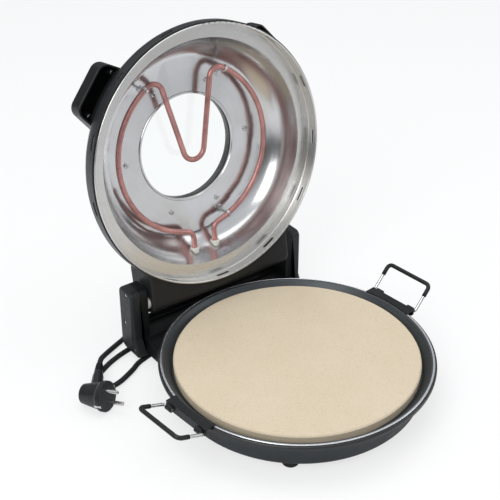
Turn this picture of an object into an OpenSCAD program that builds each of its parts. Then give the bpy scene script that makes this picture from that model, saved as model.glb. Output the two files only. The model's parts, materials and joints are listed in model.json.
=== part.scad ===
// Countertop round cooker: a bowl-shaped base with a lift-off pan and stone, a domed lid
// with a window and its own heating element, and a moulded rear stand that carries the lid's hinge.
// Millimetres, +Z up, the front towards -Y. The lid stands open.

/* [Base] */
// Outer radius of the base ring, the widest part of the base
ring_r = 165; // [160:1:170]
// Height of the base ring's top above the table
ring_top = 50; // [48:1:54]
// Thickness of the base ring
ring_h = 4; // [3:0.5:5]
// How far the base ring stands out from the bowl below it
ring_overhang = 4.3; // [3.5:0.1:5]
// Lean of the bowl's wall from upright, in degrees
bowl_lean = 19; // [16:0.5:21]
// Height of the bowl's flat bottom above the table
bowl_bottom = 8; // [7:0.5:10]
// Radius of the bowl's corner between bottom and wall
bowl_corner = 12; // [10:1:14]
// Thickness of the pressed bowl
bowl_wall = 2; // [1.6:0.1:2.2]
// Number of vent slots in the bowl's bottom
vent_count = 12; // [6:1:16]

/* [Feet] */
// Radius of the circle on which the two front feet stand
front_foot_r = 134; // [128:1:136]
// Angle of a front foot from straight ahead, in degrees
front_foot_angle = 41; // [35:1:48]
// Sideways place of a rear foot
rear_foot_x = 103; // [98:1:104]
// Depth place of a rear foot
rear_foot_y = 128; // [126:1:132]
// Radius of a foot where it meets the base
foot_r = 11; // [9:0.5:12]
// Radius of a foot's flat sole
foot_sole_r = 5.5; // [5:0.5:6.5]

/* [Pan and stone] */
// Outer radius of the pan's lip
pan_r = 162.5; // [161.5:0.5:163.5]
// Sheet thickness of the pan
pan_t = 1.2; // [1:0.1:1.4]
// Depth of the pan's floor below its lip
pan_depth = 13.2; // [12:0.2:14]
// Radius of the pan's floor
pan_floor_r = 149.6; // [148:0.2:150]
// How far the pan is turned on its seat, in degrees
pan_turn = 5.7; // [0:0.1:8]
// Radius of the baking stone
stone_r = 147; // [140:1:147]
// Thickness of the baking stone
stone_h = 12; // [8:0.5:13]

/* [Bails] */
// Diameter of the bail wire
wire_d = 4; // [3.5:0.1:4.4]
// Distance from a bail's pivot to its bar
bail_len = 38; // [34:1:44]
// Half of the distance between a bail's legs
bail_half_w = 34; // [33:0.5:38]
// Tilt of the left bail above level, in degrees
left_bail_tilt = 22.5; // [0:0.5:60]
// Tilt of the right bail above level, in degrees
right_bail_tilt = 47.6; // [0:0.5:60]
// Diameter of the black sleeve on a bail
sleeve_d = 7.4; // [6.8:0.1:8]
// Sheet thickness of a pan bracket
bracket_t = 1.5; // [1.2:0.1:1.8]

/* [Rear stand] */
// Sideways distance from the middle to a pillar's inner face
pillar_inner_x = 107; // [106:0.5:108]
// Sideways distance from the middle to a side cover's outer face
cover_outer_x = 130.5; // [128:0.5:133]
// Depth of a side cover, from the seam to its outer face
cover_depth = 12.5; // [11:0.5:13]
// Place of a pillar's front face
pillar_front = 159.5; // [158.5:0.5:160]
// Place of the stand's rear face
stand_rear = 190; // [188:1:196]
// Height of the pillars above the table
pillar_top = 98; // [94:1:104]
// Height of the stand's underside above the table
stand_bottom = 8; // [7.6:0.1:9]
// Height of the cross box between the pillars
box_top = 31; // [30:0.5:33]
// Wall thickness of the stand's mouldings
stand_wall = 2.5; // [2:0.1:3]

/* [Hinge] */
// Depth place of the hinge axis
hinge_y = 165.2; // [164.5:0.1:166]
// Height of the hinge axis above the table
hinge_z = 75.5; // [74:0.5:77]
// Diameter of a hinge pin
pin_d = 6; // [5:0.5:7]
// How far the lid stands open, in degrees
lid_open = 98.9; // [90:0.1:100]
// Sideways distance from the middle to the end of the lid's hinge block
block_end_x = 104; // [102:0.5:104.5]

/* [Lid] */
// Height of the lid's mouth above the table when shut
mouth_z = 53; // [52.5:0.5:56]
// Radius of the rolled bead round the lid's mouth
bead_out_r = 160.5; // [159.5:0.5:161.5]
// Outer radius of the black lid shell at its hem
shell_r = 162; // [161.5:0.5:163]
// Height of the black shell's top above the mouth
shell_top = 72; // [70:0.5:76]
// Thickness of the black shell
shell_t = 1.5; // [1.2:0.1:1.8]
// Height of the steel rim band
band_h = 16; // [14:0.5:18]
// Inner radius of the rim band's flange
band_inner_r = 141; // [139:0.5:143]
// Number of vent slots round the rim band
slot_count = 13; // [9:1:17]
// Length of a vent slot
slot_len = 18.5; // [14:0.5:22]
// Height of the reflector's flat plate above the mouth
plate_z = 58; // [56:0.5:59]
// Radius of the reflector's flat plate
plate_r = 112; // [108:1:114]
// Sheet thickness of the steel pressings in the lid
sheet_t = 0.8; // [0.6:0.1:1]

/* [Window] */
// Radius of the clear window seen from inside
window_r = 66.5; // [63:0.5:68]
// Thickness of the window glass
glass_t = 4; // [3:0.5:5]
// Outer radius of the bezel on top of the lid
bezel_r = 74; // [72:0.5:78]

/* [Heating elements] */
// Diameter of the element tube
tube_d = 6.8; // [6:0.2:7.4]
// Radius of the upper element's ring
upper_ring_r = 106; // [104:1:108]
// Height of the upper element above the lid's mouth
upper_z = 43; // [41:0.5:45]
// Radius of the lower element's ring
lower_ring_r = 104; // [98:1:110]
// Height of the lower element above the table
lower_z = 24; // [22:0.5:26]
// Sideways distance from the middle to an element leg
leg_x = 15.5; // [14:0.5:18]

/* [Lid handles] */
// Angle from the lid's free edge to the middle of a handle, in degrees
handle_angle = 49.5; // [45:0.5:54]
// Half width of a handle at its outer edge
handle_half_w = 32.5; // [30:0.5:35]
// How far a handle's outer edge stands out past the lid shell
handle_reach = 10.5; // [8:0.5:13]

/* [Cord] */
// Diameter of the power cord
cord_d = 6.6; // [6:0.1:6.6]

/* [Hidden] */
$fn = 64;

// Clearances
touch = 0.05;
snug = 0.15;
slip = 0.3;

// Base
bowl_top_r = ring_r - ring_overhang;
bowl_top = ring_top - ring_h;
base_reflector_z = bowl_bottom + bowl_wall + 3;
reflector_rim_z = bowl_top - 3.4;
standoff_r = 60;
ring_inner_r = pan_floor_r + 9.7;

// Pan
pan_floor_z = ring_top - pan_depth + pan_t;
pan_lip_z = ring_top + pan_t;
bracket_x = ring_r + 4;
tab_t = 1;
barrel_r = wire_d / 2 + bracket_t + slip;
wire_x = bracket_x + barrel_r;
wire_z = ring_top - 2;
barrel_y0 = bail_half_w - 13;
barrel_y1 = bail_half_w - 4;
bracket_half_w = bail_half_w + 0.5;
bracket_low = ring_top - 8;
bail_bend_r = 3.5;
bail_corner_r = 6;
sleeve_start = 14;

// Rear stand
seam_x = cover_outer_x - cover_depth;
foot_slope_y = pillar_front - 11.5;
slope_top = 31;
stand_outline = [[foot_slope_y, stand_bottom], [stand_rear, stand_bottom],
    [stand_rear, pillar_top], [pillar_front, pillar_top], [pillar_front, slope_top]];
stand_radii = [3, 11, 8, 8, 6];
cover_edge_r = 3.5;
cover_screw_spots = [[173, 91], [178, 48], [158.6, 17.6]];
neck_front = 112;
neck_half_w = 114.5;
neck_top = 26;
rear_wall_top = 40;
pin_tip_x = 86;

// Lid, in its own frame: the middle of its mouth at the origin, shut, the hinge towards +Y
lid_hinge_z = hinge_z - mouth_z;
bead_r = 1.3;
band_wall_r = bead_out_r - 1.7;
slot_z = 8.5;
slot_h = 4;
hem_z = 3;
window_hole_r = window_r + 1.3;
ring_out_r = window_r + 2.8;
glass_r = window_r + 3;
glass_z = plate_z + 2;
opening_r = window_r + 2.6;
bezel_in_r = window_r + 0.3;
boss_r = 88;
tube_r = tube_d / 2;
// Fillet between an element's ring and its legs, and the short straight that a bender leaves before it
leg_fillet_r = 12;
bend_gap = 1.5;
bush_flange_r = tube_r + 2.6;
bush_seat_y = 129.5;
clip_t = 1;
clip_w = 3;
// Where the upper element's ring ends in its shoulders, and its clips: beside the shoulders and by one leg
shoulder_at = 59;
shoulder_clip_at = shoulder_at - (clip_w / 2 + 1) / upper_ring_r * 180 / PI;
leg_clip_at = 68;
block_barrel_r = 15.5;
block_top_z = 57;
block_back_y = hinge_y + block_barrel_r;
block_outline = [[95, lid_hinge_z - block_barrel_r], [block_back_y, lid_hinge_z - block_barrel_r],
    [block_back_y, block_top_z], [126, block_top_z], [95, 30]];
block_radii = [2, block_barrel_r - 0.01, 9, 12, 4];
block_edge_r = 4;
bush_r = 5;
bush_len = 18;

// Handles, in their own frame: u runs out along the lid's radius, w along the rim
handle_u0 = shell_r - 44;
handle_flare = 0.2;
handle_wall = 2.2;
handle_low = 36;
handle_high = 58;
handle_corner_r = 13;
handle_edge_r = 5;
handle_screw_r = shell_r - 5.5;
handle_screw_angle = 10.5;
handle_screw_z = handle_low + 3;

// The whole part stands on its own middle: half the difference of its reach on either side
left_reach = wire_x + bail_len * cos(left_bail_tilt);
right_reach = wire_x + bail_len * cos(right_bail_tilt);
shift_x = (left_reach - right_reach) / 2 * cos(pan_turn);
bezel_top = shell_top + 2.5;
back_reach = hinge_y - (hinge_y + bezel_r) * cos(lid_open)
    + (mouth_z + bezel_top - hinge_z) * sin(lid_open);
shift_y = (ring_r - back_reach) / 2;

// Cord: the loops of the coil, and the points that the free stretches follow on the table
cord_r = cord_d / 2;
cord_z = cord_r + 0.1;
coil_x = 30;
coil_y = 268;
coil_turns = 3.5;
coil_pitch = cord_d + 0.6;
coil_inner_r = 29.5;
coil_rings = 24;
coil_sides = 6;
coil_end_angle = 180;
gland_x = 62;
gland_z = 17;
gland_len = 26;
tail_points = [[62, 222, 17], [63.5, 232, 15.2], [68.4, 241.5, 9.6], [71.6, 249, 4.8]];
run_points = [[-12.2, 249, 9], [-12.6, 239, 6.2], [-13.5, 227, 4], [-16.5, 211, 3.4], [-24, 194, 3.4],
    [-38, 178, 3.4], [-58, 167, 3.4], [-80, 161, 3.4], [-102, 158, 3.4], [-121, 153, 3.4],
    [-132, 149.3, 3.4], [-143, 142.6, 3.4], [-155.5, 136.4, 3.4], [-167.3, 131.4, 3.4],
    [-178.5, 129, 3.4], [-187, 130.8, 3.4], [-191.2, 138, 3.4], [-190, 148, 3.4], [-184, 157, 3.4],
    [-175, 162.6, 3.4], [-164, 168.6, 3.4], [-152, 173.8, 3.4], [-135, 179, 3.4], [-116, 182.5, 3.4],
    [-96, 183, 3.4], [-76, 186, 3.4], [-58, 195, 3.4], [-47, 210, 3.4], [-47, 227, 3.4],
    [-58, 240, 3.4], [-75, 242, 3.4], [-90, 232, 3.4], [-103, 218, 3.4], [-117, 206, 3.4],
    [-134, 198.5, 3.4], [-150, 190.5, 4.8], [-161, 182.5, 8], [-169, 175, 11.4]];

// Plug, lying on its side: the middle of its face, the heading and rise of its axis along the pins, and its roll
plug_face = [-204.1, 98, 19.3];
plug_turn = -62;
plug_rise = 12;
plug_roll = 102;
plug_r = 18.5;
plug_depth = 35;
plug_back_r = 12;
plug_axis = [cos(plug_rise) * cos(plug_turn), cos(plug_rise) * sin(plug_turn), sin(plug_rise)];
// The cord leaves sideways from here: first a neck on the body, then the ribbed relief up to its tip
plug_middle = plug_face - 17 * plug_axis;
relief_tip = [-178, 163, 13.5];
neck_len = 37;
plug_lead = (relief_tip - plug_middle) / norm(relief_tip - plug_middle);
relief_root = plug_middle + neck_len * plug_lead;
neck_tip_r = 6.6;

// Radius of the bowl's straight wall at a height
function bowl_line_r(z) = bowl_top_r - (bowl_top - z) * tan(bowl_lean);

// Plane geometry
function unit(v) = v / norm(v);
function left_of(v) = [-v[1], v[0]];
function reversed(list) = [for (i = [len(list) - 1:-1:0]) list[i]];
function wrapped(angle) = angle - 360 * round(angle / 360);

// Points of the arc that replaces corner b between a and c
function rounded(a, b, c, r, n) =
    let (
        u = unit(a - b),
        w = unit(c - b),
        half = acos(u * w) / 2,
        middle = b + unit(u + w) * r / sin(half),
        first = b + u * r / tan(half) - middle,
        final = b + w * r / tan(half) - middle,
        start = atan2(first[1], first[0]),
        turn = wrapped(atan2(final[1], final[0]) - start)
    )
    [for (i = [0:n]) middle + r * [cos(start + turn * i / n), sin(start + turn * i / n)]];

// An open path, and a closed outline, with their inner corners rounded
function soft_path(pts, radii, n = 6) = [for (i = [0:len(pts) - 1])
    each radii[i] == 0 ? [pts[i]] : rounded(pts[i - 1], pts[i], pts[i + 1], radii[i], n)];
function soft_loop(pts, radii, n = 6) = [for (i = [0:len(pts) - 1])
    each rounded(pts[(i + len(pts) - 1) % len(pts)], pts[i], pts[(i + 1) % len(pts)], radii[i], n)];

// An open path moved sideways by d, to the left of its run
function moved(path, d) =
    let (last = len(path) - 1)
    [for (i = [0:last])
        let (
            into = unit(path[max(i, 1)] - path[max(i, 1) - 1]),
            out = unit(path[min(i, last - 1) + 1] - path[min(i, last - 1)]),
            mid = unit(into + out)
        )
        path[i] + left_of(mid) * d / (mid * into)];

// The outline of a sheet whose right-hand face follows a path
function sheet(path, t) = concat(path, reversed(moved(path, t)));

// A closed outline, drawn anticlockwise, moved inwards by d
function inset(pts, d) =
    let (n = len(pts))
    [for (i = [0:n - 1])
        let (
            into = unit(pts[i] - pts[(i + n - 1) % n]),
            out = unit(pts[(i + 1) % n] - pts[i]),
            mid = unit(into + out)
        )
        pts[i] + left_of(mid) * d / (mid * into)];

// Whether a corner of that outline turns outwards, and the radii that suit the inset outline
function turns_out(pts, i) =
    let (n = len(pts), u = pts[i] - pts[(i + n - 1) % n], w = pts[(i + 1) % n] - pts[i])
    u[0] * w[1] - u[1] * w[0] > 0;
function inset_radii(pts, radii, d) =
    [for (i = [0:len(pts) - 1]) max(0.4, radii[i] + (turns_out(pts, i) ? -d : d))];
function inset_loop(pts, radii, d) = soft_loop(inset(pts, d), inset_radii(pts, radii, d));

// Points of a cubic curve
function curve(a, b, c, d, n = 12) = [for (i = [0:n])
    let (t = i / n, s = 1 - t)
    s * s * s * a + 3 * s * s * t * b + 3 * s * t * t * c + t * t * t * d];

// A solid between outlines of equal count, stacked along z; each outline is a list of 3-D points
module loft(rings) {
    n = len(rings[0]);
    last = len(rings) - 1;
    polyhedron(
        points = [for (ring = rings) each ring],
        faces = concat(
            [[for (i = [0:n - 1]) i]],
            [[for (i = [n - 1:-1:0]) last * n + i]],
            [for (j = [0:last - 1], i = [0:n - 1]) [j * n + i, (j + 1) * n + i, (j + 1) * n + (i + 1) % n]],
            [for (j = [0:last - 1], i = [0:n - 1]) [j * n + i, (j + 1) * n + (i + 1) % n, j * n + (i + 1) % n]]
        ),
        convexity = 6);
}

// An outline raised to a height
function raised(pts, z) = [for (p = pts) [p[0], p[1], z]];

// A moulded block from z0 to z1 with its edges rounded at the top, and at the bottom if asked
module moulded(pts, radii, z0, z1, edge_r, both = false, steps = 4) {
    arc = [for (i = [0:steps]) 90 * i / steps];
    low = both
        ? [for (a = reversed(arc)) raised(inset_loop(pts, radii, edge_r * (1 - cos(a))), z0 + edge_r * (1 - sin(a)))]
        : [raised(inset_loop(pts, radii, 0), z0)];
    high = [for (a = arc) raised(inset_loop(pts, radii, edge_r * (1 - cos(a))), z1 - edge_r * (1 - sin(a)))];
    loft(concat(low, high));
}

// Turns an outline drawn in (y, z) so that its depth runs along +x from x0
module along_x(x0) {
    translate([x0, 0, 0]) rotate([90, 0, 90]) children();
}

// Both sides of the part
module both_sides() {
    children();
    mirror([1, 0, 0]) children();
}

// Round tube stretches: straight along z, and a bend that starts at the origin heading along +y
module rod(r, length, bore = 0) {
    rotate_extrude() translate([bore, 0]) square([r - bore, length]);
}
// A straight that laps a hair over the bends it joins
module link(r, length) {
    lap = 0.3;
    translate([0, 0, -lap]) cylinder(r = r + 0.04, h = length + 2 * lap);
}
module bend(r, bend_r, angle, bore = 0) {
    rotate_extrude(angle = angle) translate([bend_r, 0]) difference() {
        circle(r);
        if (bore > 0) circle(bore);
    }
}

// A vent slot with round ends, cut down along z
module slot(length, width, depth) {
    translate([-(length - width) / 2, -width / 2, 0]) cube([length - width, width, depth]);
    for (s = [-1, 1]) translate([s * (length - width) / 2, 0, 0]) cylinder(d = width, h = depth, $fn = 24);
}

// Pose of the whole part, of the pan on its seat, and of the open lid
module stand_at() {
    translate([shift_x, shift_y, 0]) children();
}
module on_pan() {
    stand_at() rotate([0, 0, pan_turn]) children();
}
module on_lid() {
    stand_at() translate([0, hinge_y, hinge_z]) rotate([-lid_open, 0, 0])
        translate([0, -hinge_y, -lid_hinge_z]) children();
}

// Base

bowl_path = soft_path([[0, bowl_bottom], [bowl_line_r(bowl_bottom), bowl_bottom], [bowl_top_r, bowl_top]],
    [0, bowl_corner, 0]);
foot_spots = [
    for (s = [-1, 1]) [s * front_foot_r * sin(front_foot_angle), -front_foot_r * cos(front_foot_angle)],
    for (s = [-1, 1]) [s * rear_foot_x, rear_foot_y]];

// The bowl as a solid, a little larger by gap, for what is shaped round it
module bowl_solid(gap = 0) {
    rotate_extrude($fn = 128) polygon(concat(moved(bowl_path, -gap),
        [[bowl_top_r + gap, ring_top], [0, ring_top]]));
}

// Holes along +y through whatever the lower element's legs pass
module leg_holes(r, y0, y1) {
    for (s = [-1, 1]) translate([s * leg_x, y0, lower_z]) rotate([-90, 0, 0]) cylinder(r = r, h = y1 - y0);
}

module base_shell() {
    vent_r = 96;
    vent_w = 4;
    vent_len = 28;
    screw_r = 1.7;
    floor_z = bowl_bottom + bowl_wall;
    color("#4a5256") stand_at() difference() {
        union() {
            rotate_extrude($fn = 128) intersection() {
                polygon(sheet(bowl_path, bowl_wall));
                square([ring_r, bowl_top]);
            }
            for (a = [45:90:315]) rotate([0, 0, a]) translate([standoff_r, 0, floor_z - 0.5])
                cylinder(r = 6, h = base_reflector_z - floor_z + 0.5);
        }
        for (i = [0:vent_count - 1]) rotate([0, 0, (i + 0.5) * 360 / vent_count])
            translate([vent_r, 0, bowl_bottom - 1]) rotate([0, 0, 90]) slot(vent_len, vent_w, bowl_wall + 2);
        for (a = [45:90:315]) rotate([0, 0, a]) translate([standoff_r, 0, 0]) cylinder(r = screw_r, h = ring_top);
        for (p = [foot_spots[0], foot_spots[1]]) translate([p[0], p[1], 0]) cylinder(r = 2.1, h = ring_top / 2);
        leg_holes(tube_r + 1.5, 140, 170);
    }
}

module base_ring() {
    skirt = 0.8;
    step_r = bowl_top_r + 0.6;
    outline = [[ring_inner_r, bowl_top], [step_r, bowl_top], [step_r, bowl_top - skirt],
        [ring_r, bowl_top - skirt], [ring_r, ring_top], [ring_inner_r, ring_top]];
    color("#1b1d1f") stand_at() rotate_extrude($fn = 128)
        polygon(soft_loop(outline, [0.3, 0.2, 0.2, 0.8, 1.6, 0.8], 4));
}

module base_reflector() {
    rim_r = bowl_line_r(reflector_rim_z) - bowl_wall / cos(bowl_lean) - touch;
    path = soft_path([[0, base_reflector_z], [pan_floor_r - 11.6, base_reflector_z],
        [rim_r - 1.8, reflector_rim_z], [rim_r, reflector_rim_z]], [0, 8, 0.6, 0]);
    color("#b9bcbe") stand_at() difference() {
        rotate_extrude($fn = 128) polygon(sheet(path, sheet_t));
        for (a = [45:90:315]) rotate([0, 0, a]) translate([standoff_r, 0, 0]) cylinder(r = 1.7, h = ring_top);
        leg_holes(tube_r + 0.6, 130, 160);
    }
}

module foot(top) {
    rotate_extrude() difference() {
        polygon(concat([[0, 0]], curve([foot_sole_r, 0], [foot_sole_r + 3.5, 0], [foot_r, 3], [foot_r, 7.5], 8),
            [[foot_r, top], [0, top]]));
        square([4.4, 4.5]);
        square([2.1, top + 1]);
    }
}

module feet() {
    color("#151617") stand_at() {
        difference() {
            for (p = [foot_spots[0], foot_spots[1]]) translate([p[0], p[1], 0]) foot(bowl_bottom + 6);
            bowl_solid();
        }
        for (p = [foot_spots[2], foot_spots[3]]) translate([p[0], p[1], 0]) foot(stand_bottom);
    }
}

module foot_screws() {
    color("#9a9da0") stand_at() for (p = foot_spots) translate([p[0], p[1], 0]) rotate_extrude()
        polygon([[0, 2], [2.6, 2], [4, 3], [4, 4.5], [2, 4.5], [2, 13], [0, 13]]);
}

// Heating elements

// Where the fillet between an element's ring and its leg is centred, and the angle to it
function fillet_angle(r, f) = acos((leg_x + f) / norm([r + f, bend_gap])) - atan2(bend_gap, r + f);
function fillet_at(r, f) = let (a = fillet_angle(r, f)) (r + f) * [cos(a), sin(a)] + bend_gap * [-sin(a), cos(a)];
// From a ring's end, out through a fillet and along y to the terminal
module element_leg(r, leg_end) {
    c = fillet_at(r, leg_fillet_r);
    turn = fillet_angle(r, leg_fillet_r);
    rotate([0, 0, turn]) translate([r, 0, 0]) rotate([-90, 0, 0]) link(tube_r, bend_gap);
    translate([c[0], c[1], 0]) rotate([0, 0, 180]) bend(tube_r, leg_fillet_r, turn);
    translate([leg_x, c[1], 0]) rotate([-90, 0, 0]) link(tube_r, leg_end - c[1]);
}

module lower_element() {
    stud_len = 9;
    leg_end = stand_rear - 22;
    turn = fillet_angle(lower_ring_r, leg_fillet_r);
    color("#6d5a55") stand_at() translate([0, 0, lower_z]) {
        rotate([0, 0, 180 - turn]) bend(tube_r, lower_ring_r, 180 + 2 * turn);
        both_sides() {
            element_leg(lower_ring_r, leg_end);
            translate([leg_x, leg_end, 0]) rotate([-90, 0, 0]) rod(1.9, stud_len);
        }
    }
}

// A saddle clip that holds a tube at height h over its foot; the tube runs along y
module saddle_clip(h) {
    grip_r = tube_r + slip;
    foot_w = 8;
    foot_len = 13;
    difference() {
        union() {
            translate([0, -foot_w / 2, 0]) cube([foot_len, foot_w, clip_t]);
            translate([0, -clip_w / 2, 0]) cube([clip_t * 1.4, clip_w, h - grip_r / 2]);
            translate([0, -clip_w / 2, h]) rotate([-90, 0, 0]) cylinder(r = grip_r + clip_t, h = clip_w);
            translate([foot_len * 0.62, 0, clip_t]) rotate_extrude($fn = 32)
                polygon([[0, -0.4], [2.3, -0.4], [2.3, 0.3], [1.4, 0.9], [0, 1]]);
        }
        translate([0, -foot_w, h]) rotate([-90, 0, 0]) cylinder(r = grip_r, h = 2 * foot_w);
    }
}

module lower_element_clips() {
    floor_z = base_reflector_z + sheet_t;
    color("#a9acae") stand_at() for (a = [30, 150, 270]) rotate([0, 0, a])
        translate([lower_ring_r, 0, floor_z]) saddle_clip(lower_z - floor_z);
}

// Rear stand

// A cross section of the stand, cut by the wall where it is hollow
module stand_section(wall = 0) {
    polygon(inset_loop(stand_outline, stand_radii, wall));
}

module box_section() {
    lip = 4.5;
    polygon(soft_loop([[foot_slope_y, stand_bottom], [stand_rear, stand_bottom], [stand_rear, rear_wall_top],
        [stand_rear - lip, rear_wall_top], [stand_rear - lip, box_top], [pillar_front, box_top]],
        [3, 11, 2, 1.5, 3, 4]));
}

module neck() {
    translate([0, 0, stand_bottom]) linear_extrude(neck_top - stand_bottom)
        polygon(soft_loop([[-neck_half_w, neck_front], [neck_half_w, neck_front],
            [neck_half_w, pillar_front + 2], [-neck_half_w, pillar_front + 2]], [7, 7, 1, 1]));
}

// The stand: two pillars as trays open to the side, a cross box and the neck that grips the bowl
module rear_housing() {
    pocket_x = pillar_inner_x + stand_wall;
    boss_end = pocket_x + 6;
    gland_r = 6.6;
    color("#202224") stand_at() difference() {
        union() {
            difference() {
                union() {
                    both_sides() along_x(pillar_inner_x) linear_extrude(cover_outer_x - cover_depth - pillar_inner_x)
                        stand_section();
                    along_x(-pillar_inner_x) linear_extrude(2 * pillar_inner_x) box_section();
                    neck();
                }
                bowl_solid(touch);
                both_sides() along_x(pocket_x) linear_extrude(cover_depth + stand_wall) stand_section(stand_wall);
                translate([-pocket_x - 1, pillar_front + 3, stand_bottom + stand_wall])
                    cube([2 * pocket_x + 2, stand_rear - pillar_front - 3 - stand_wall - 2,
                        box_top - stand_bottom - 2 * stand_wall]);
            }
            both_sides() {
                along_x(pillar_inner_x) for (p = cover_screw_spots) translate(p) cylinder(r = 3.6, h = seam_x - pillar_inner_x);
                along_x(pillar_inner_x) translate([hinge_y, hinge_z]) cylinder(r = pin_d / 2 + 2.4, h = boss_end - pillar_inner_x);
            }
        }
        both_sides() {
            along_x(pillar_inner_x + 3) for (p = cover_screw_spots) translate(p) cylinder(r = 1.65, h = cover_depth, $fn = 24);
            along_x(pillar_inner_x - 1) translate([hinge_y, hinge_z]) cylinder(d = pin_d + 2 * snug, h = 20);
        }
        leg_holes(tube_r + 1.5, 140, pillar_front + 4);
        for (p = [foot_spots[2], foot_spots[3]]) translate([p[0], p[1], 0]) cylinder(r = 2.1, h = neck_top - 4);
        translate([gland_x, stand_rear - 10, gland_z]) rotate([-90, 0, 0]) cylinder(r = gland_r, h = 20);
    }
}

module side_cover() {
    color("#2b2e31") stand_at() difference() {
        union() {
            difference() {
                along_x(seam_x) moulded(stand_outline, stand_radii, 0, cover_depth, cover_edge_r);
                along_x(seam_x - 1) linear_extrude(cover_depth - stand_wall + 1) stand_section(stand_wall);
            }
            along_x(seam_x) for (p = cover_screw_spots) translate(p) cylinder(r = 3.6, h = cover_depth - 1);
        }
        along_x(seam_x - 1) for (p = cover_screw_spots) translate(p) cylinder(r = 1.7, h = cover_depth + 2, $fn = 24);
        along_x(cover_outer_x - 1.6) for (p = cover_screw_spots) translate(p) cylinder(r = 3, h = 3, $fn = 32);
    }
}
module mirrored_at_stand() {
    translate([2 * shift_x, 0, 0]) mirror([1, 0, 0]) children();
}
module cover_right() { side_cover(); }
module cover_left() { mirrored_at_stand() side_cover(); }

module cover_screws() {
    color("#8d9093") stand_at() both_sides() for (p = cover_screw_spots)
        along_x(cover_outer_x - 1.6) translate(p) rotate_extrude($fn = 32)
            polygon([[0, 0.9], [2, 0.9], [2.8, 0.4], [2.8, 0], [1.6, 0], [1.6, -12], [0, -12]]);
}

module hinge_pins() {
    head_x = pillar_inner_x + stand_wall + 6 + snug;
    head_r = pin_d / 2 + 2;
    // A flat on the head bears on the pillar's front wall, so the pin can't turn
    flat = hinge_y - pillar_front - stand_wall - snug;
    color("#9fa3a6") stand_at() both_sides() along_x(0) translate([hinge_y, hinge_z]) difference() {
        rotate_extrude() polygon([[0, pin_tip_x], [pin_d / 2 - 0.6, pin_tip_x], [pin_d / 2, pin_tip_x + 0.6],
            [pin_d / 2, head_x], [head_r, head_x], [head_r, head_x + 2], [0, head_x + 2]]);
        translate([-flat - head_r, -head_r - 1, head_x - 0.5]) cube([head_r, 2 * head_r + 2, 4]);
    }
}

module terminal_block() {
    block_w = 54;
    block_d = 12;
    block_y = stand_rear - 18;
    floor_z = stand_bottom + stand_wall;
    color("#e6e1d6") stand_at() difference() {
        translate([-block_w / 2, block_y, floor_z]) cube([block_w, block_d, lower_z + 3 - floor_z]);
        leg_holes(1.95, block_y - 1, block_y + 6);
        for (x = [-leg_x, 0, leg_x]) translate([x, block_y + block_d / 2, lower_z]) cylinder(r = 2.2, h = 5);
    }
}

module thermal_cutout() {
    floor_z = stand_bottom + stand_wall;
    color("#cfc9bb") stand_at() translate([46, stand_rear - 16, floor_z]) {
        rotate_extrude() polygon([[0, 0], [8.5, 0], [8.5, 1], [7, 1.6], [7, 7], [6, 8], [0, 8]]);
        for (s = [-1, 1]) translate([s * 4 - 0.4, -3, 7.5]) cube([0.8, 6, 7]);
    }
}

module cord_gland() {
    base_y = stand_rear;
    color("#17181a") stand_at() translate([gland_x, base_y, gland_z]) rotate([-90, 0, 0]) difference() {
        rotate_extrude() polygon([[0, -stand_wall - 4], [6.5, -stand_wall - 4], [6.5, 0], [8.5, 0], [8.5, 2.5],
            [7, 4], [cord_r + 1.2, gland_len], [0, gland_len]]);
        for (i = [0:3]) translate([0, 0, 8 + 4 * i]) rotate_extrude() translate([cord_r + 1.9, 0]) square([6, 1.4]);
    }
}

// Cord

function cord_coil_at(t) =
    let (
        turn = coil_end_angle - (coil_turns - t) * 360,
        r = coil_inner_r + coil_pitch * sqrt(pow(t - coil_turns / 2, 2) + 0.01),
        climb = min(1, max(0, (t - coil_turns / 2) * 2 + 0.5))
    )
    [coil_x + r * cos(turn), coil_y + r * sin(turn), cord_z + coil_pitch * climb * climb * (3 - 2 * climb)];

coil_loops = [for (i = [0:coil_turns * coil_rings]) cord_coil_at(i / coil_rings)];
coil_entry = coil_loops[0] - [0, cord_d, 0];
coil_exit = coil_loops[len(coil_loops) - 1] - [0, cord_d, 0];
coil_line = concat([coil_entry], coil_loops, [coil_exit]);

// Least distance between loops, less the cord's own thickness
coil_gap = min([for (i = [0:len(coil_loops) - 1], j = [i + coil_rings / 2:len(coil_loops) - 1])
    norm(coil_loops[i] - coil_loops[j])]) - cord_d;
echo(coil_gap = coil_gap);

// A smooth run through the route's points, each stretch cut into n
function smooth_at(a, b, c, d, t) = 0.5 * (2 * b + (c - a) * t + (2 * a - 5 * b + 4 * c - d) * t * t
    + (3 * b - a - 3 * c + d) * t * t * t);
function smooth_run(p, n) = let (last = len(p) - 1) concat(
    [for (i = [0:last - 1], k = [0:n - 1])
        smooth_at(p[max(i - 1, 0)], p[i], p[i + 1], p[min(i + 2, last)], k / n)],
    [p[last]]);

// A round tube along a line of points, as rings of flat faces
module cord_tube(line, sides) {
    last = len(line) - 1;
    loft([for (i = [0:last])
        let (
            along = unit(line[min(i + 1, last)] - line[max(i - 1, 0)]),
            side = unit(cross(along, [0, 0, 1])),
            up = cross(side, along)
        )
        [for (k = [0:sides - 1]) line[i] + cord_r * (cos((k + 0.5) * 360 / sides) * side
            - sin((k + 0.5) * 360 / sides) * up)]]);
}

module cord_tail() {
    start = [gland_x, stand_rear + gland_len, gland_z];
    color("#131415") stand_at() cord_tube(smooth_run(concat([start], tail_points, [coil_entry - [0, 5, 0], coil_entry]), 1), 8);
}
module cord_coil() {
    color("#131415") stand_at() cord_tube(coil_line, coil_sides);
}
module cord_run() {
    color("#131415") stand_at() cord_tube(smooth_run(concat([coil_exit - [0, snug, 0], coil_exit - [0, 5, 0]],
        run_points, [relief_tip + 5 * plug_lead, relief_tip + snug * plug_lead]), 2), 8);
}

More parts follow.
